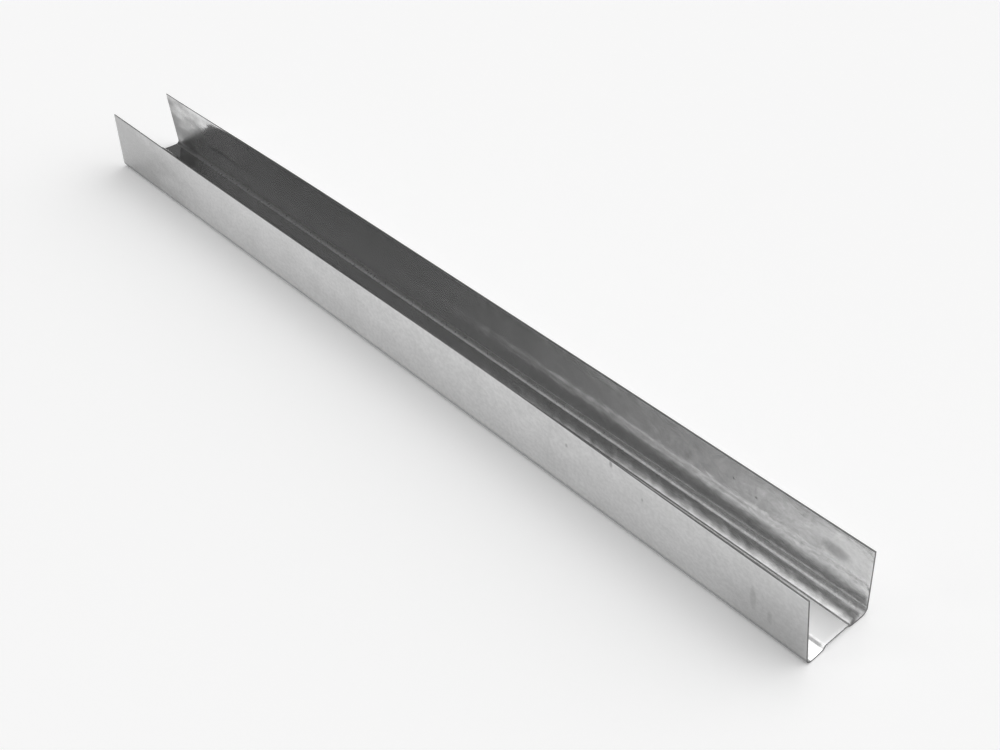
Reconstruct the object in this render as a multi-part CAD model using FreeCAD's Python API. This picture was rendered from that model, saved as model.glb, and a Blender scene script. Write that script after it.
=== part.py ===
"""Roll-formed steel U channel of the kind that frames plasterboard walls and ceilings.

One strip of galvanised sheet is bent into a channel that is nearly square in section: a web
with a raised middle panel, and two plain flanges that stand up from it. The piece lies on its
web, with the flanges pointing up and both ends cut square.

Frame: millimetres. X runs along the length, Y across the web and Z up. The origin is in the
middle of the length and the width, on the plane that the web's two outer strips lie on.
"""
import FreeCAD, Part
import math
import os

LENGTH = 435.0              # cut length, end to end
WEB_WIDTH = 30.0            # over the outer faces of the two flanges
FLANGE_HEIGHT = 27.0        # from the plane it rests on to the free edges
SHEET = 0.6                 # thickness of the strip
CORNER_RADIUS = 1.7         # inside the bends between web and flanges

STRIP_WIDTH = 8.4           # outer face of a flange to the foot of the step beside it
PANEL_RISE = 1.2            # how far the middle panel stands above the strips
STEP_ANGLE = 48.0           # slope of the step between strip and panel, in degrees
STEP_RADIUS = 0.5           # inside the two bends of a step

NODE = "u_channel"


def section_corners():
    """Sharp corners of the sheet's middle line, from one free edge round to the other.

    Each entry holds the point across the section and the inside radius of its bend. The
    free edges have no bend.
    """
    half_sheet = SHEET / 2
    side = WEB_WIDTH / 2 - half_sheet
    foot = WEB_WIDTH / 2 - STRIP_WIDTH
    head = foot - PANEL_RISE / math.tan(math.radians(STEP_ANGLE))
    right = [
        ((side, FLANGE_HEIGHT), None),
        ((side, half_sheet), CORNER_RADIUS),
        ((foot, half_sheet), STEP_RADIUS),
        ((head, half_sheet + PANEL_RISE), STEP_RADIUS),
    ]
    left = [((-y, z), radius) for (y, z), radius in reversed(right)]
    return right + left


def unit(start, end):
    """Direction from one point to another, as a vector of length one."""
    return (end - start).normalize()


def bend(corner, before, after, inside_radius):
    """Arc that replaces a sharp corner of the middle line.

    Returns the arc's centre and the directions from it to the arc's start and end, with the
    radius of the middle line and the side that the centre lies on: +1 left, -1 right.
    """
    come = unit(before, corner)
    go = unit(corner, after)
    turn = math.atan2(come.cross(go).x, come.dot(go))
    side = math.copysign(1.0, turn)
    radius = inside_radius + SHEET / 2
    tangent = radius * math.tan(abs(turn) / 2)
    start = corner - come * tangent
    to_centre = FreeCAD.Vector(1, 0, 0).cross(come) * (side * radius)
    centre = start + to_centre
    end = corner + go * tangent
    return centre, unit(centre, start), unit(centre, end), radius, side


def face_path(offset):
    """Edges of one face of the sheet, at this distance to the left of the middle line."""
    corners = [(FreeCAD.Vector(0, y, z), radius) for (y, z), radius in section_corners()]
    points = [point for point, _ in corners]
    left_of = FreeCAD.Vector(1, 0, 0)
    here = points[0] + left_of.cross(unit(points[0], points[1])) * offset
    edges = []
    for before, (corner, inside_radius), after in zip(points, corners[1:-1], points[2:]):
        centre, to_start, to_end, radius, side = bend(corner, before, after, inside_radius)
        face_radius = radius - side * offset
        start = centre + to_start * face_radius
        middle = centre + (to_start + to_end).normalize() * face_radius
        end = centre + to_end * face_radius
        edges.append(Part.LineSegment(here, start).toShape())
        edges.append(Part.Arc(start, middle, end).toShape())
        here = end
    last = points[-1] + left_of.cross(unit(points[-2], points[-1])) * offset
    edges.append(Part.LineSegment(here, last).toShape())
    return edges


def section_face():
    """The sheet's section as a flat face across the channel: two faces and two cut edges."""
    inner = face_path(SHEET / 2)
    outer = face_path(-SHEET / 2)
    first_edge = Part.LineSegment(inner[0].firstVertex().Point, outer[0].firstVertex().Point)
    last_edge = Part.LineSegment(inner[-1].lastVertex().Point, outer[-1].lastVertex().Point)
    outline = inner + outer + [first_edge.toShape(), last_edge.toShape()]
    return Part.Face(Part.Wire(Part.__sortEdges__(outline)))


def channel():
    """The whole channel: its section carried straight along the length."""
    face = section_face()
    face.translate(FreeCAD.Vector(-LENGTH / 2, 0, 0))
    return face.extrude(FreeCAD.Vector(LENGTH, 0, 0))


os.makedirs("parts", exist_ok=True)
solid = channel()
solid.exportStep(f"parts/{NODE}.step")
box = solid.BoundBox
print(NODE, solid.ShapeType, "valid", solid.isValid(), "solids", len(solid.Solids))
print("volume mm3", round(solid.Volume, 1), "size", box.XLength, box.YLength, box.ZLength)
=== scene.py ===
"""Studio scene of a roll-formed steel U channel: one piece of galvanised sheet on a pale floor.

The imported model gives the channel's box. Here the sheet is drawn again as one finely gridded
surface, so that it can have the slight bow, lean, waves and crooked cuts of a piece that was
cut off a long length and handled. All lengths are in metres, written in millimetres by MM.
"""

import logging
import math
from dataclasses import dataclass
from enum import Enum

import bpy
import numpy as np
from mathutils import Euler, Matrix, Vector


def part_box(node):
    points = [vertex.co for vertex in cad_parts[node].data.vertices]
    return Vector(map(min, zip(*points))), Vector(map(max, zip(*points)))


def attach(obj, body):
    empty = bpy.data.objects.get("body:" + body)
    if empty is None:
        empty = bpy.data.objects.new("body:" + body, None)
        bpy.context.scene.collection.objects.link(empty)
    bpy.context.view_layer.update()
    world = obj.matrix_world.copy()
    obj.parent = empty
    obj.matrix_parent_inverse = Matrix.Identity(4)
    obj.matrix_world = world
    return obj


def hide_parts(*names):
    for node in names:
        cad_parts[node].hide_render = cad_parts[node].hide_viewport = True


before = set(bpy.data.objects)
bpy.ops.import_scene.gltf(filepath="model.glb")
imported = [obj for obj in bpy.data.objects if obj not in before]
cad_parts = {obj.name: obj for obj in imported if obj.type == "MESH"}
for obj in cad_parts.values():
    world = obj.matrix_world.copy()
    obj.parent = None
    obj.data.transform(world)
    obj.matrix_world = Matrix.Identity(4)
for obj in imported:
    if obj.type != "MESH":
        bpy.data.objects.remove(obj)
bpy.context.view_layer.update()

MM = 0.001
NODE = "u_channel"
CUT_FLAG = "cut"
OUTER_FLAG = "outer"
log = logging.getLogger("scene")

Tree = bpy.types.NodeTree
Socket = bpy.types.NodeSocket
Level = Socket | float


@dataclass(frozen=True)
class Swell:
    """A soft swelling along the channel: a bell curve that fades out on both sides."""

    centre: float
    reach: float
    amount: float

    def at(self, x: np.ndarray) -> np.ndarray:
        """Height at x: the amount times e to the minus square of (x - centre) / reach."""
        return self.amount * np.exp(-((x - self.centre) / self.reach) ** 2)


def linear(hex_colour: str) -> tuple[float, float, float, float]:
    """Turn an sRGB hex colour into the linear colour that a shader takes.

    The sRGB curve is a straight line near black and a power of 2.4 above it.

    Args:
        hex_colour: Six hexadecimal digits, such as "c0c4c8".

    Returns:
        Linear red, green and blue, with an alpha of one.
    """
    levels = [int(hex_colour[i:i + 2], 16) / 255 for i in (0, 2, 4)]
    red, green, blue = (
        v / 12.92 if v <= 0.04045 else ((v + 0.055) / 1.055) ** 2.4 for v in levels)
    return red, green, blue, 1.0


def add_node(tree: Tree, kind: str, links: dict | None = None, **settings) -> bpy.types.Node:
    """Add one node to a node tree, with its settings and the links into it.

    Args:
        tree: Tree that the node goes into.
        kind: Blender's name of the node, such as "ShaderNodeTexNoise".
        links: Input name or index to a value, or to the output socket that feeds it.
        settings: Properties of the node itself.

    Returns:
        The new node.
    """
    node = tree.nodes.new(kind)
    for name, value in settings.items():
        setattr(node, name, value)
    for name, value in (links or {}).items():
        if isinstance(value, Socket):
            tree.links.new(value, node.inputs[name])
        else:
            node.inputs[name].default_value = value
    return node


def new_material(name: str) -> tuple[bpy.types.Material, Tree]:
    """Make an empty node material.

    Args:
        name: The material's name.

    Returns:
        The material and its cleared node tree.
    """
    material = bpy.data.materials.new(name)
    material.use_nodes = True
    material.node_tree.nodes.clear()
    return material, material.node_tree


@dataclass(frozen=True)
class Section:
    """Section of the bent sheet, as the line half way through its thickness.

    The line starts at the near flange's free edge, goes down, across the web and up the far
    flange. It is a chain of runs that are straight or turn evenly, so its heading is a
    piecewise linear function of the distance along it.
    """

    width: float
    height: float
    sheet: float = 0.6 * MM
    corner_radius: float = 1.7 * MM
    strip_width: float = 8.4 * MM
    panel_rise: float = 1.2 * MM
    step_angle: float = math.radians(48)
    step_radius: float = 0.5 * MM
    hollow_low: float = 11.3 * MM
    hollow_radius: float = 44 * MM

    def runs(self) -> tuple[np.ndarray, np.ndarray]:
        """Lengths and turns of the runs, from one free edge to the other.

        A bend's arc length is its middle radius times its turn, and it takes middle radius
        times the tangent of half the turn off the straight runs beside it.

        Returns:
            The runs' lengths, and the angle that each turns to the left, in radians.
        """
        half = self.sheet / 2
        corner = self.corner_radius + half
        step = self.step_radius + half
        corner_cut = corner * math.tan(math.pi / 4)
        step_cut = step * math.tan(self.step_angle / 2)
        slope = self.panel_rise / math.sin(self.step_angle)
        slope_run = self.panel_rise / math.tan(self.step_angle)
        panel = self.width - 2 * self.strip_width - 2 * slope_run
        side = [
            (self.height - half - corner_cut, 0.0),
            (corner * math.pi / 2, math.pi / 2),
            (self.strip_width - half - corner_cut - step_cut, 0.0),
            (step * self.step_angle, self.step_angle),
            (slope - 2 * step_cut, 0.0),
            (step * self.step_angle, -self.step_angle),
        ]
        chain = side + [(panel - 2 * step_cut, 0.0)] + side[::-1]
        lengths, turns = np.array(chain).T
        return lengths, turns

    def length(self) -> float:
        """Length of the middle line from edge to edge, which is the strip's width."""
        return float(self.runs()[0].sum())

    def stations(self, straight: tuple[int, int, int, int], bend: int) -> np.ndarray:
        """Distances along the middle line where the mesh has points.

        Args:
            straight: Segments in the flange, strip, slope and panel.
            bend: Segments in each bend.

        Returns:
            Distances that grow from 0 to the line's length.
        """
        lengths, _ = self.runs()
        flange, strip, slope, panel = straight
        side = [flange, bend, strip, bend, slope, bend]
        counts = side + [panel] + side[::-1]
        starts = np.concatenate([[0.0], np.cumsum(lengths)])
        parts = [np.linspace(a, b, n, endpoint=False) for a, b, n in zip(starts, starts[1:], counts)]
        return np.concatenate(parts + [starts[-1:]])

    def trace(self, along: np.ndarray) -> tuple[np.ndarray, np.ndarray, np.ndarray]:
        """Points of the middle line and the sheet's heading there.

        From the start of its run, a point lies at the end of a chord. The chord's length is
        the distance times the sinc of half the turn so far, and its direction is the run's
        first heading plus half that turn.

        Args:
            along: Distances along the line.

        Returns:
            Y and Z of the points, and the heading as an angle from +Y.
        """
        lengths, turns = self.runs()
        starts = np.concatenate([[0.0], np.cumsum(lengths)])[:-1]
        first = -math.pi / 2 + np.concatenate([[0.0], np.cumsum(turns)])[:-1]
        chord = lengths * np.sinc(turns / 2 / math.pi)
        middle = first + turns / 2
        edge = (self.sheet - self.width) / 2
        y0 = edge + np.concatenate([[0.0], np.cumsum(chord * np.cos(middle))])
        z0 = self.height + np.concatenate([[0.0], np.cumsum(chord * np.sin(middle))])
        run = np.clip(np.searchsorted(starts, along, side="right") - 1, 0, len(starts) - 1)
        gone = along - starts[run]
        turned = turns[run] * gone / lengths[run]
        reach = gone * np.sinc(turned / 2 / math.pi)
        direction = first[run] + turned / 2
        y = y0[run] + reach * np.cos(direction)
        z = z0[run] + reach * np.sin(direction)
        return y, z, first[run] + turned

    def warp(self, y: np.ndarray) -> np.ndarray:
        """Small height that rolling adds to the web's side strips.

        Each strip is hollow: its height grows with the square of the distance from the hollow's
        low line, over twice the hollow's radius. The step takes that height back.

        Args:
            y: Places across the section.

        Returns:
            Heights to add to the web's points.
        """
        foot = self.width / 2 - self.strip_width
        head = foot - self.panel_rise / math.tan(self.step_angle)
        bend = self.width / 2 - self.sheet - self.corner_radius
        side = np.abs(y)
        hollow = (np.clip(side, foot, bend) - self.hollow_low) ** 2 / (2 * self.hollow_radius)
        taken = np.clip((side - head) / (foot - head), 0, 1)
        return hollow * taken


@dataclass
class Channel:
    """The channel's sheet as one closed surface over the section and the length.

    Each flange leans inwards by its swells, which are placed from the far end, and the near
    flange's foot by its own. A cut says how much shorter its end is at the near flange's free
    edge, at the two corner bends and at the far flange's free edge.
    """

    section: Section
    start: float
    end: float
    edge_round: float = 0.06 * MM
    rim_points: int = 4
    slices: int = 300
    straight: tuple[int, int, int, int] = (26, 8, 2, 10)
    bend: int = 8
    sharp_angle: float = math.radians(50)
    near_lean: tuple[Swell, ...] = (
        Swell(0.0, 60 * MM, 0.75 * MM),
        Swell(115 * MM, 90 * MM, 0.55 * MM),
        Swell(275 * MM, 98 * MM, 1.5 * MM),
    )
    near_foot: tuple[Swell, ...] = (Swell(435 * MM, 250 * MM, 0.5 * MM),)
    far_lean: tuple[Swell, ...] = (
        Swell(0.0, 75 * MM, 1.28 * MM),
        Swell(430 * MM, 95 * MM, 0.3 * MM),
    )
    web_hold: int = 4
    near_cut: tuple[float, ...] = (0.0, 0.5 * MM, 3.2 * MM, 0.94 * MM)
    far_cut: tuple[float, ...] = (0.45 * MM, 0.0, 0.0, 0.22 * MM)
    cut_reach: float = 30 * MM

    def rim(self) -> tuple[np.ndarray, np.ndarray]:
        """Points of the quarter circle that rounds a sheared edge.

        Returns:
            The radius times one minus the sine of the turn, and times one minus its cosine. One
            is the distance from the cut, the other from the sheet's face.
        """
        turn = np.linspace(0, math.pi / 2, self.rim_points)
        return self.edge_round * (1 - np.sin(turn)), self.edge_round * (1 - np.cos(turn))

    def loop(self) -> tuple[np.ndarray, np.ndarray]:
        """One turn round the sheet's section: along the inner face, back along the outer one.

        The second half is the first half mirrored in the middle line and taken backwards, so
        a point and its partner across the thickness add up to the same index.

        Returns:
            Distances along the middle line and offsets from it, inwards positive.
        """
        half = self.section.sheet / 2
        along = self.section.stations(self.straight, self.bend)
        from_cut, from_face = self.rim()
        rim_across = half - from_face
        inner_along = np.concatenate([from_cut[::-1], along[1:-1], self.section.length() - from_cut])
        inner_across = np.concatenate([rim_across[::-1], np.full(len(along) - 2, half), rim_across])
        both_along = np.concatenate([inner_along, inner_along[::-1]])
        return both_along, np.concatenate([inner_across, -inner_across[::-1]])

    def shorten(self, along: np.ndarray, x: np.ndarray) -> np.ndarray:
        """Move the ends back to their crooked cuts.

        Each cut is a chain of straight lines over the strip's width, given at its two free
        edges and its two corner bends. It fades out evenly over the reach from that end.

        Args:
            along: Distances along the section's middle line.
            x: Distances along the channel, before the cuts.

        Returns:
            Distances along the channel, with the cuts.
        """
        total = self.section.length()
        corner = self.section.height - self.section.sheet
        knots = [0.0, corner, total - corner, total]
        near_share = np.clip(1 - (self.end - x) / self.cut_reach, 0, 1)
        far_share = np.clip(1 - (x - self.start) / self.cut_reach, 0, 1)
        near = np.interp(along, knots, self.near_cut) * near_share
        far = np.interp(along, knots, self.far_cut) * far_share
        return x - near + far

    def place(self, along: np.ndarray, across: np.ndarray, x: np.ndarray) -> np.ndarray:
        """Places in the room of points of the sheet.

        The section's point is moved inwards by its flange's inset, which goes evenly from the
        foot's inset at the web to the lean at the free edge. Over the web the inset falls with
        a high power of the distance from the middle, which holds the panel straight.

        Args:
            along: Distances along the section's middle line.
            across: Offsets from the middle line, inwards positive.
            x: Distances along the channel, from its start to its end.

        Returns:
            An array of points with X, Y and Z in its last axis.
        """
        y, z, heading = self.section.trace(along)
        y = y - across * np.sin(heading)
        z = z + across * np.cos(heading)
        z = z + self.section.warp(y) * np.clip(1 - z / self.section.height, 0, 1)
        gone = x - self.start
        height = np.clip(z / self.section.height, 0, 1)
        flange = np.clip(np.abs(y) / (self.section.width / 2), 0, 1) ** self.web_hold
        near_foot = sum(swell.at(gone) for swell in self.near_foot)
        near = near_foot + (sum(swell.at(gone) for swell in self.near_lean) - near_foot) * height
        far = sum(swell.at(gone) for swell in self.far_lean) * height
        y = y + flange * np.where(y < 0, near, -far)
        return np.stack([self.shorten(along, x + np.zeros_like(y)), y, z], axis=-1)

    @staticmethod
    def faces(rings: int, count: int) -> np.ndarray:
        """Faces of the sheet: walls from ring to ring, then a cap over each end.

        A cap's face joins two neighbours on the inner face to their partners across the
        thickness.

        Args:
            rings: How many rings there are along the channel.
            count: How many points each ring has.

        Returns:
            The four corners of every face, as an index into the points.
        """
        index = np.arange(rings * count).reshape(rings, count)
        here, ahead = index[:-1], index[1:]
        walls = np.stack([here, ahead, np.roll(ahead, -1, 1), np.roll(here, -1, 1)], -1)
        first = np.arange(count // 2 - 1)
        partner = count - 1 - first
        cap = np.stack([first, first + 1, partner - 1, partner], -1)
        return np.concatenate([walls.reshape(-1, 4), cap, cap[:, ::-1] + index[-1, 0]])

    def flags(self, rings: int, along: np.ndarray) -> dict[str, np.ndarray]:
        """Which faces are sheared metal, and which lie on the sheet's outer face.

        The rounding of a free edge or an end is sheared, with the flat between its two
        roundings, and so are the caps. The outer face is the second half of each ring.

        Args:
            rings: How many rings there are along the channel.
            along: Distances along the middle line of one ring's points.

        Returns:
            Under each attribute's name, 1 or 0 for every face, in the order of the faces.
        """
        count = len(along)
        rounded = self.rim_points - 1
        rim = np.minimum(along, self.section.length() - along) < 2 * self.edge_round
        cut = np.zeros((rings - 1, count))
        cut[:, rim & np.roll(rim, -1)] = 1.0
        cut[:rounded] = 1.0
        cut[-rounded:] = 1.0
        outer = np.zeros((rings - 1, count))
        outer[:, count // 2:-1] = 1.0
        caps = np.ones(count - 2)
        return {
            CUT_FLAG: np.concatenate([cut.ravel(), caps]),
            OUTER_FLAG: np.concatenate([outer.ravel(), np.zeros_like(caps)]),
        }

    def build(self) -> bpy.types.Object:
        """Make the mesh of the sheet: rings round the section, joined along the length.

        The rings next to an end are drawn in by the rounding of its sheared edge.

        Returns:
            The finished object, at the origin.
        """
        along, across = self.loop()
        half = self.section.sheet / 2
        inset, depth = (distances[:-1] for distances in self.rim())
        body = np.linspace(self.start + self.edge_round, self.end - self.edge_round, self.slices + 1)
        x = np.concatenate([self.start + depth, body, self.end - depth[::-1]])
        trim = np.concatenate([inset, np.zeros(len(body)), inset[::-1]])[:, None]
        grid_along = np.clip(along, trim, self.section.length() - trim)
        grid_across = np.clip(across, trim - half, half - trim)
        points = self.place(grid_along, grid_across, x[:, None])
        faces = self.faces(len(x), len(along))
        mesh = bpy.data.meshes.new("channel_sheet")
        mesh.from_pydata(points.reshape(-1, 3).tolist(), [], faces.tolist())
        mesh.validate()
        mesh.polygons.foreach_set("use_smooth", np.ones(len(faces), dtype=bool))
        mesh.set_sharp_from_angle(angle=self.sharp_angle)
        for name, values in self.flags(len(x), along).items():
            mesh.attributes.new(name, "FLOAT", "FACE").data.foreach_set("value", values)
        piece = bpy.data.objects.new("channel_sheet", mesh)
        bpy.context.collection.objects.link(piece)
        return piece


@dataclass(frozen=True)
class Finish:
    """One state of the metal's surface: its colour, and how rough it is."""

    colour: str
    roughness: float


@dataclass
class Coats:
    """The metal's colour and roughness, as finishes are laid over it one by one."""

    tree: Tree
    colour: Socket | tuple[float, float, float, float]
    roughness: Level

    def lay(self, where: Socket, finish: Finish) -> None:
        """Lay a finish over what is there.

        Args:
            where: Socket that gives how much of the finish a place has, from 0 to 1.
            finish: The finish.
        """
        self.roughness = add_node(self.tree, "ShaderNodeMix", {
            "Factor": where, "A": self.roughness, "B": finish.roughness}).outputs["Result"]
        self.colour = add_node(self.tree, "ShaderNodeMix", {
            "Factor": where, "A": self.colour, "B": linear(finish.colour)},
            data_type="RGBA").outputs["Result"]

    def tint(self, where: Socket, colour: str) -> None:
        """Multiply the colour by a tint, and leave the roughness.

        Args:
            where: Socket that gives how much of the tint a place has, from 0 to 1.
            colour: The tint, as an sRGB hex colour.
        """
        self.colour = add_node(self.tree, "ShaderNodeMix", {
            "Factor": where, "A": self.colour, "B": linear(colour)},
            data_type="RGBA", blend_type="MULTIPLY").outputs["Result"]


@dataclass(frozen=True)
class Grain:
    """A noise with grains of a real size along and across the channel."""

    along: float
    across: float
    detail: float

    def noise(self, tree: Tree, place: Socket) -> Socket:
        """Noise about 0.5, at a scale of one over the place divided by the grains' sizes.

        Args:
            tree: Tree that the nodes go into.
            place: Socket that gives the place in metres.

        Returns:
            Socket that gives the noise.
        """
        scaled = add_node(tree, "ShaderNodeVectorMath", {
            0: place, 1: (1 / self.along, 1 / self.across, 1 / self.across)}, operation="MULTIPLY")
        return add_node(tree, "ShaderNodeTexNoise", {
            "Vector": scaled.outputs["Vector"], "Scale": 1.0, "Detail": self.detail}).outputs["Fac"]


@dataclass(frozen=True)
class Fade:
    """An even change while a value goes from a start to an end, which may be the lower one."""

    start: float
    end: float

    def level(self, tree: Tree, value: Socket, before: Level = 0.0, after: Level = 1.0) -> Socket:
        """Level that goes evenly from one to another over the span, and stays there beyond it.

        Args:
            tree: Tree that the node goes into.
            value: Socket that gives the value.
            before: Level up to the start, or the socket that gives it.
            after: Level past the end, or the socket that gives it.

        Returns:
            Socket that gives the level.
        """
        return add_node(tree, "ShaderNodeMapRange", {
            "Value": value, "From Min": self.start, "From Max": self.end,
            "To Min": before, "To Max": after}).outputs["Result"]


class Face(Enum):
    """The two faces of the bent sheet."""

    INNER = "inner"
    OUTER = "outer"


@dataclass(frozen=True)
class Mark:
    """A dull spot, scuff, nick or patch of painted shade on one face of the sheet, as an ellipsoid
    that fades out.
    """

    centre: tuple[float, float, float]
    radii: tuple[float, float, float]
    depth: float
    face: Face = Face.INNER
    core: float = 0.3

    def strength(self, tree: Tree, place: Socket, shift: Socket) -> Socket:
        """How strongly a place is marked.

        The reach is the length of the offset from the centre, divided by the radii, plus the
        shift. The mark is at its full depth up to the core and fades smoothly to a reach of one.

        Args:
            tree: Tree that the nodes go into.
            place: Socket that gives the place in metres.
            shift: Socket that gives the shift, which makes the border ragged.

        Returns:
            Socket that gives the strength, from 0 to the depth.
        """
        away = add_node(tree, "ShaderNodeVectorMath", {0: place, 1: self.centre}, operation="SUBTRACT")
        scaled = add_node(tree, "ShaderNodeVectorMath", {
            0: away.outputs["Vector"], 1: self.radii}, operation="DIVIDE")
        length = add_node(tree, "ShaderNodeVectorMath", {
            0: scaled.outputs["Vector"]}, operation="LENGTH")
        reach = add_node(tree, "ShaderNodeMath", {
            0: length.outputs["Value"], 1: shift}, operation="ADD")
        return add_node(tree, "ShaderNodeMapRange", {
            "Value": reach.outputs["Value"], "From Min": self.core, "From Max": 1.0,
            "To Min": self.depth, "To Max": 0.0}, interpolation_type="SMOOTHSTEP").outputs["Result"]


@dataclass(frozen=True)
class GalvanisedStrip:
    """Hot-dip galvanised strip steel, skin-passed, then cold roll-formed.

    Zinc gives a light neutral grey metal, and the rolls leave it glossy, with fine grain and
    with faint clouds and waves drawn out along the length. It is duller at the worn near end of
    the panel and in the corner bends, which are crazed with fine beads; the bends' darker colour is
    painted shade in the creases. The marks are duller and darker: a smudge, a nick, specks and
    scuffs, and painted shade at the ends and along the far flange's free edge. The outer face's
    darker colour is painted shade. The sheared edges are grey and matt. The fades say where the
    panel, its worn end and the bends lie, and the flanges are wavier than the web.
    """

    bright: Finish = Finish("fbfbfb", 0.11)
    cloudy: Finish = Finish("e1e1e1", 0.16)
    worn: Finish = Finish("fbfbfb", 0.48)
    # Corner bends: the roughness is their real dullness, the darker colour is painted shade in the
    # creases.
    bent: Finish = Finish("bababa", 0.36)
    # Finish of the marks: real scuffs, nicks, specks and a smudge, and painted shade.
    scuffed_and_shaded: Finish = Finish("6f6f6f", 0.4)
    sheared: Finish = Finish("747474", 0.5)
    grain_tint: str = "f4f4f4"
    # Painted shade: this tint darkens the whole outer face.
    outer_shade_tint: str = "e8e8e8"
    clouds: Grain = Grain(15.4 * MM, 7.0 * MM, 3.0)
    grain: Grain = Grain(1.68 * MM, 1.2 * MM, 2.0)
    beads: Grain = Grain(0.9 * MM, 0.9 * MM, 1.0)
    waves: Grain = Grain(10.0 * MM, 6.0 * MM, 2.0)
    mottle: Fade = Fade(0.35, 0.65)
    crazing: Fade = Fade(0.3, 0.7)
    crazed_level: float = 0.55
    panel: Fade = Fade(5.6 * MM, 5.2 * MM)
    near_end: Fade = Fade(180 * MM, 198 * MM)
    bend_side: Fade = Fade(12.3 * MM, 12.9 * MM)
    bend_height: Fade = Fade(2.9 * MM, 2.3 * MM)
    wave_depth: float = 0.17 * MM
    web_wave: float = 0.3
    ragged: float = 1.0
    smudge: Mark = Mark((201 * MM, 14.2 * MM, 17.3 * MM), (7.4 * MM, 0.5 * MM, 3.7 * MM), 0.42)
    nick: Mark = Mark(
        (130.5 * MM, -14.2 * MM, 25.7 * MM), (1.0 * MM, 1.4 * MM, 1.8 * MM), 0.5, Face.OUTER)
    specks: tuple[Mark, ...] = (
        Mark((107.5 * MM, -13.9 * MM, 20 * MM), (0.9 * MM, 1.0 * MM, 1.0 * MM), 0.4, Face.OUTER),
        Mark((145.5 * MM, -14.4 * MM, 20 * MM), (0.8 * MM, 1.0 * MM, 1.2 * MM), 0.4, Face.OUTER),
        Mark((157.5 * MM, 14.2 * MM, 19.5 * MM), (0.9 * MM, 0.4 * MM, 0.8 * MM), 0.7),
        Mark((167.5 * MM, 14.2 * MM, 17.5 * MM), (1.1 * MM, 0.4 * MM, 0.9 * MM), 0.6),
    )
    scuffs: tuple[Mark, ...] = (
        Mark((195 * MM, -14.8 * MM, 12 * MM), (2.2 * MM, 1.0 * MM, 8.0 * MM), 0.36, Face.OUTER),
        Mark((202 * MM, -14.8 * MM, 9 * MM), (2.4 * MM, 1.0 * MM, 6.0 * MM), 0.36, Face.OUTER),
    )
    # Painted shade: a dark line along the inner side of the far flange's free edge.
    shaded_edge_line: Mark = Mark((0.0, 14.8 * MM, 27.2 * MM), (3.0, 1.4 * MM, 0.6 * MM), 0.9)
    # Painted shade near the ends: the near flange's outer face at both ends, the far flange's inner
    # face at the far end.
    shaded_ends: tuple[Mark, ...] = (
        Mark((225 * MM, -14.6 * MM, 4 * MM), (60 * MM, 2.0 * MM, 28 * MM), 0.26, Face.OUTER),
        Mark((-225 * MM, -14.6 * MM, 13 * MM), (95 * MM, 2.0 * MM, 50 * MM), 0.42, Face.OUTER),
        Mark((-222 * MM, 14.4 * MM, 16 * MM), (52 * MM, 1.8 * MM, 36 * MM), 0.85),
    )

    def material(self) -> bpy.types.Material:
        """Make the material: the bright metal first, then each finish over it, where it lies."""
        material, tree = new_material("galvanised strip steel, roll-formed")
        place = add_node(tree, "ShaderNodeTexCoord").outputs["Object"]
        axes = add_node(tree, "ShaderNodeSeparateXYZ", {"Vector": place})
        sideways = add_node(tree, "ShaderNodeMath", {0: axes.outputs["Y"]}, operation="ABSOLUTE")
        side = sideways.outputs["Value"]
        outer = add_node(tree, "ShaderNodeAttribute", attribute_name=OUTER_FLAG).outputs["Fac"]
        cut = add_node(tree, "ShaderNodeAttribute", attribute_name=CUT_FLAG).outputs["Fac"]
        clouds = self.clouds.noise(tree, place)
        grain = self.mottle.level(tree, self.grain.noise(tree, place))
        near_end = self.near_end.level(tree, axes.outputs["X"])
        crazed = self.crazing.level(tree, self.beads.noise(tree, place), 1.0, self.crazed_level)
        low = self.bend_height.level(tree, axes.outputs["Z"], 0.0, crazed)
        coats = Coats(tree, linear(self.bright.colour), self.bright.roughness)
        coats.lay(clouds, self.cloudy)
        coats.tint(grain, self.grain_tint)
        coats.lay(self.panel.level(tree, side, 0.0, near_end), self.worn)
        # Corner bends, with painted shade in their darker colour.
        coats.lay(self.bend_side.level(tree, side, 0.0, low), self.bent)
        # Painted shade over the outer face.
        coats.tint(outer, self.outer_shade_tint)
        # Marks: real scuffs and specks, and painted shade at the ends and along the far flange's free
        # edge.
        coats.lay(self.marked(tree, place, clouds, outer), self.scuffed_and_shaded)
        coats.lay(cut, self.sheared)
        bump = add_node(tree, "ShaderNodeBump", {
            "Height": self.waves.noise(tree, place), "Distance": self.wave_depth,
            "Strength": self.bend_side.level(tree, side, self.web_wave, 1.0)})
        shader = add_node(tree, "ShaderNodeBsdfPrincipled", {
            "Base Color": coats.colour, "Metallic": 1.0, "Roughness": coats.roughness,
            "Normal": bump.outputs["Normal"]})
        add_node(tree, "ShaderNodeOutputMaterial", {"Surface": shader.outputs["BSDF"]})
        return material

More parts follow.
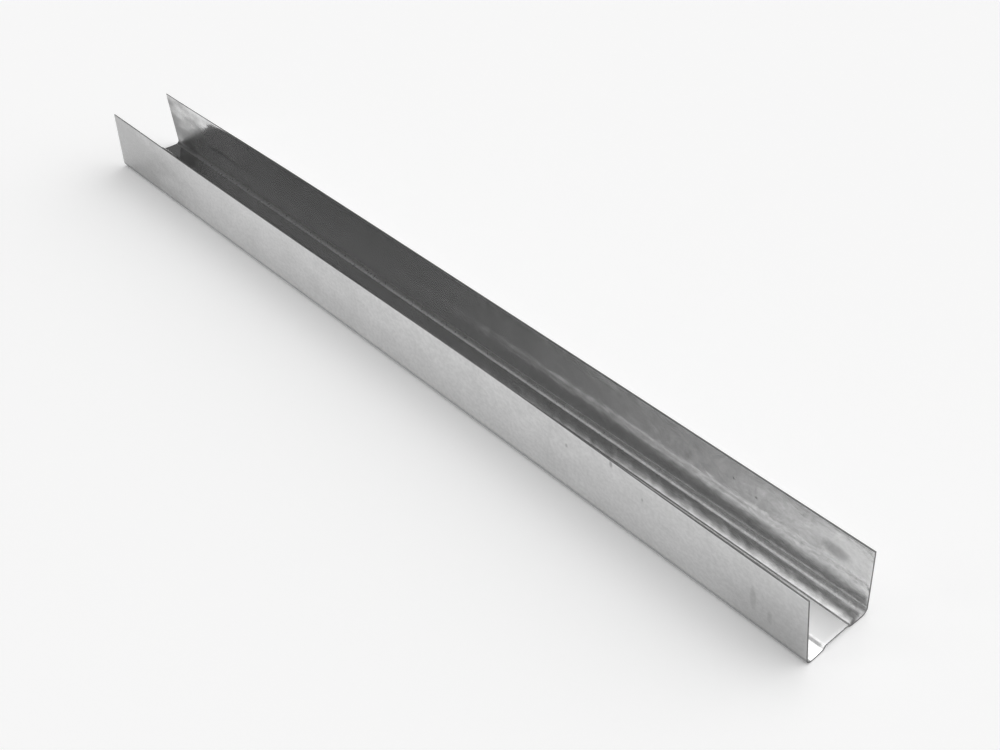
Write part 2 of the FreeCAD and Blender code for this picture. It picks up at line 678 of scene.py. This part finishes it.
    def marked(self, tree: Tree, place: Socket, clouds: Socket, outer: Socket) -> Socket:
        """How strongly a place is marked, from 0 to 1, by the strongest mark on its face. Some marks
        are real scuffs, nicks, specks and a smudge, the others painted shade.

        Args:
            tree: Tree that the nodes go into.
            place: Socket that gives the place in metres.
            clouds: Socket that gives a noise about 0.5, which makes the marks' borders ragged.
            outer: Socket that gives 1 on the strip's outer face and 0 on its inner one.

        Returns:
            Socket that gives the strength.
        """
        shift = add_node(tree, "ShaderNodeMath", {
            0: clouds, 1: self.ragged, 2: -self.ragged / 2}, operation="MULTIPLY_ADD")
        inner = add_node(tree, "ShaderNodeMath", {0: 1.0, 1: outer}, operation="SUBTRACT")
        lies = {Face.INNER: inner.outputs["Value"], Face.OUTER: outer}
        single = (self.smudge, self.nick, self.shaded_edge_line)
        strongest = 0.0
        for mark in (*single, *self.specks, *self.scuffs, *self.shaded_ends):
            strength = mark.strength(tree, place, shift.outputs["Value"])
            there = add_node(tree, "ShaderNodeMath", {
                0: strength, 1: lies[mark.face]}, operation="MULTIPLY")
            strongest = add_node(tree, "ShaderNodeMath", {
                0: strongest, 1: there.outputs["Value"]}, operation="MAXIMUM").outputs["Value"]
        return strongest


@dataclass(frozen=True)
class Viewpoint:
    """The camera, by the point it looks at and the way it looks."""

    aim: tuple[float, float, float] = (38.3 * MM, 9.73 * MM, 0.0)
    distance: float = 620.22 * MM
    azimuth: float = math.radians(55.647)
    elevation: float = math.radians(36.331)
    roll: float = math.radians(-6.235)
    lens_mm: float = 59.61
    sensor_mm: float = 36.0

    def build(self) -> bpy.types.Object:
        """Make the camera and make it the scene's own.

        Returns:
            The camera object.
        """
        camera = bpy.data.cameras.new("camera")
        camera.lens = self.lens_mm
        camera.sensor_width = self.sensor_mm
        piece = bpy.data.objects.new("camera", camera)
        bpy.context.collection.objects.link(piece)
        turn = Euler((math.pi / 2 - self.elevation, 0.0, self.azimuth), "XYZ").to_matrix()
        roll = Euler((0.0, 0.0, self.roll), "XYZ").to_matrix()
        back = turn @ Vector((0.0, 0.0, 1.0))
        piece.matrix_world = (turn @ roll).to_4x4()
        piece.location = Vector(self.aim) + back * self.distance
        bpy.context.scene.camera = piece
        return piece


def share(tree: Tree, direction: Socket, azimuth: float, elevation: float) -> Socket:
    """How far a direction points one way, as the cosine of the angle between the two.

    Args:
        tree: Tree that the node goes into.
        direction: Socket that gives a direction of length one.
        azimuth: The way's angle from +X towards +Y, in degrees.
        elevation: The way's angle above the floor, in degrees.

    Returns:
        Socket that gives the cosine.
    """
    turn, lift = math.radians(azimuth), math.radians(elevation)
    way = (math.cos(lift) * math.cos(turn), math.cos(lift) * math.sin(turn), math.sin(lift))
    return add_node(tree, "ShaderNodeVectorMath", {
        0: direction, 1: way}, operation="DOT_PRODUCT").outputs["Value"]


@dataclass(frozen=True)
class SoftLamp:
    """A round soft lamp in the room, by the direction it shines from. Angles in degrees.

    It has its full level up to one angle from its middle, and fades out over another.
    """

    azimuth: float
    elevation: float
    level: float
    full: float
    fade: float

    def light(self, tree: Tree, direction: Socket) -> Socket:
        """Level that the lamp adds to a direction, by the angle between the two.

        Args:
            tree: Tree that the nodes go into.
            direction: Socket that gives a direction of length one.

        Returns:
            Socket that gives the level.
        """
        cosine = share(tree, direction, self.azimuth, self.elevation)
        angle = add_node(tree, "ShaderNodeMath", {0: cosine}, operation="ARCCOSINE")
        return add_node(tree, "ShaderNodeMapRange", {
            "Value": angle.outputs["Value"], "From Min": math.radians(self.full),
            "From Max": math.radians(self.full + self.fade), "To Min": self.level,
            "To Max": 0.0}, interpolation_type="SMOOTHSTEP").outputs["Result"]


@dataclass(frozen=True)
class Border:
    """A soft border in the room, square to the way that its two angles in degrees give.

    It begins where a direction's share of that way passes the start, and ends where the share
    passes the end.
    """

    azimuth: float
    elevation: float
    start: float
    end: float

    def level(self, tree: Tree, direction: Socket, before: Level, past: Level) -> Socket:
        """Level that goes smoothly from one to another across the border.

        Args:
            tree: Tree that the nodes go into.
            direction: Socket that gives a direction of length one.
            before: Level on the near side of the border, or the socket that gives it.
            past: Level on the far side, or the socket that gives it.

        Returns:
            Socket that gives the level.
        """
        return add_node(tree, "ShaderNodeMapRange", {
            "Value": share(tree, direction, self.azimuth, self.elevation), "From Min": self.start,
            "From Max": self.end, "To Min": before, "To Max": past},
            interpolation_type="SMOOTHSTEP").outputs["Result"]


@dataclass(frozen=True)
class Studio:
    """Pale floor in a plain room: pale walls, a bright ceiling, three lamps, one unlit wall.

    The channel mirrors the unlit wall in the deep part of its trough, and the ceiling and the
    lamps near its open end. The wall on the right is the brightest, so the floor in front of
    the channel lies in its soft shadow.
    """

    floor_size: float = 12.0
    floor_colour: str = "f6f6f6"
    floor_glow: float = 0.15
    front_level: float = 0.32
    back_level: float = 0.95
    right_level: float = 1.45
    unlit_level: float = 0.106
    high_level: float = 1.0
    ceiling_level: float = 1.05
    back_border: Border = Border(90.0, 0.0, -0.3, 0.3)
    right_borders: tuple[Border, ...] = (
        Border(0.0, 0.0, -0.2, 0.3),
        Border(90.0, 0.0, -0.1, 0.4),
    )
    unlit_borders: tuple[Border, ...] = (
        Border(144.7, 55.8, -0.154, 0.016),
        Border(210.3, -8.6, -0.27, 0.33),
    )
    high_border: Border = Border(0.0, 90.0, 0.69, 0.82)
    ceiling_border: Border = Border(0.0, 90.0, 0.942, 0.977)
    lamps: tuple[SoftLamp, ...] = (
        SoftLamp(237.4, 29.4, 1.35, 4.5, 10.0),
        SoftLamp(124.8, 60.0, 0.7, 5.2, 20.0),
        SoftLamp(120.0, 50.0, 0.35, 6.0, 9.0),
    )

    def floor(self) -> bpy.types.Object:
        """Make the floor that the channel lies on.

        It is matt. To the camera, in a mirror image and through anything clear it also glows a
        little, which brings it near white, and that glow lights nothing else.

        Returns:
            The floor object.
        """
        half = self.floor_size / 2
        corners = [(-half, -half, 0), (half, -half, 0), (half, half, 0), (-half, half, 0)]
        mesh = bpy.data.meshes.new("floor")
        mesh.from_pydata(corners, [], [(0, 1, 2, 3)])
        piece = bpy.data.objects.new("floor", mesh)
        bpy.context.collection.objects.link(piece)
        material, tree = new_material("matt paper floor")
        paper = add_node(tree, "ShaderNodeBsdfDiffuse", {"Color": linear(self.floor_colour)})
        rays = add_node(tree, "ShaderNodeLightPath")
        seen = add_node(tree, "ShaderNodeMath", {
            0: rays.outputs["Is Camera Ray"], 1: rays.outputs["Is Glossy Ray"]}, operation="ADD")
        seen = add_node(tree, "ShaderNodeMath", {
            0: seen.outputs["Value"], 1: rays.outputs["Is Transmission Ray"]}, operation="MAXIMUM")
        strength = add_node(tree, "ShaderNodeMath", {
            0: seen.outputs["Value"], 1: self.floor_glow}, operation="MULTIPLY")
        glow = add_node(tree, "ShaderNodeEmission", {"Strength": strength.outputs["Value"]})
        shader = add_node(tree, "ShaderNodeAddShader", {
            0: paper.outputs["BSDF"], 1: glow.outputs["Emission"]})
        add_node(tree, "ShaderNodeOutputMaterial", {"Surface": shader.outputs["Shader"]})
        mesh.materials.append(material)
        return piece

    def surroundings(self) -> None:
        """Light the room by its walls, its lamps and its ceiling.

        The front and the back wall blend smoothly, and the right and the unlit wall are set
        over them. Higher up the level is at least the high level, the lamps add to it, and the
        ceiling's own level takes over overhead.
        """
        world = bpy.data.worlds.new("surroundings")
        bpy.context.scene.world = world
        world.use_nodes = True
        tree = world.node_tree
        tree.nodes.clear()
        direction = add_node(tree, "ShaderNodeTexCoord").outputs["Generated"]
        level = self.back_border.level(tree, direction, self.front_level, self.back_level)
        level = self.wall(tree, direction, self.right_borders, level, self.right_level)
        level = self.wall(tree, direction, self.unlit_borders, level, self.unlit_level)
        least = add_node(tree, "ShaderNodeMath", {0: level, 1: self.high_level}, operation="MAXIMUM")
        level = self.high_border.level(tree, direction, level, least.outputs["Value"])
        for lamp in self.lamps:
            level = add_node(tree, "ShaderNodeMath", {
                0: level, 1: lamp.light(tree, direction)}, operation="ADD").outputs["Value"]
        level = self.ceiling_border.level(tree, direction, level, self.ceiling_level)
        background = add_node(tree, "ShaderNodeBackground", {
            "Color": (1, 1, 1, 1), "Strength": level})
        add_node(tree, "ShaderNodeOutputWorld", {"Surface": background.outputs["Background"]})

    @staticmethod
    def wall(tree: Tree, direction: Socket, borders: tuple[Border, ...], around: Socket,
             level: Level) -> Socket:
        """Set a wall into the room, which is there only past every one of its borders.

        Args:
            tree: Tree that the nodes go into.
            direction: Socket that gives a direction of length one.
            borders: The wall's borders.
            around: Socket that gives the level around the wall.
            level: The wall's own level.

        Returns:
            Socket that gives the level of the room with the wall in it.
        """
        for border in borders:
            level = border.level(tree, direction, around, level)
        return level


def main() -> None:
    """Build the channel, its finish, the studio and the camera, and report each piece."""
    logging.basicConfig(level=logging.INFO, format="%(name)s: %(message)s")
    scene = bpy.context.scene
    scene.view_settings.view_transform = "Standard"
    low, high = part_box(NODE)
    section = Section(width=float(high[1] - low[1]), height=float(high[2] - low[2]))
    channel = Channel(section, start=float(low[0]), end=float(high[0]))
    sheet = channel.build()
    sheet.data.materials.append(GalvanisedStrip().material())
    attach(sheet, "root")
    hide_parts(NODE)
    log.info("channel_sheet: %d faces, strip %.1f mm wide", len(sheet.data.polygons),
             section.length() / MM)
    studio = Studio()
    studio.floor()
    studio.surroundings()
    log.info("studio: floor and surroundings")
    camera = Viewpoint().build()
    log.info("camera at %s", [round(v, 4) for v in camera.location])


if __name__ == "__main__":
    main()
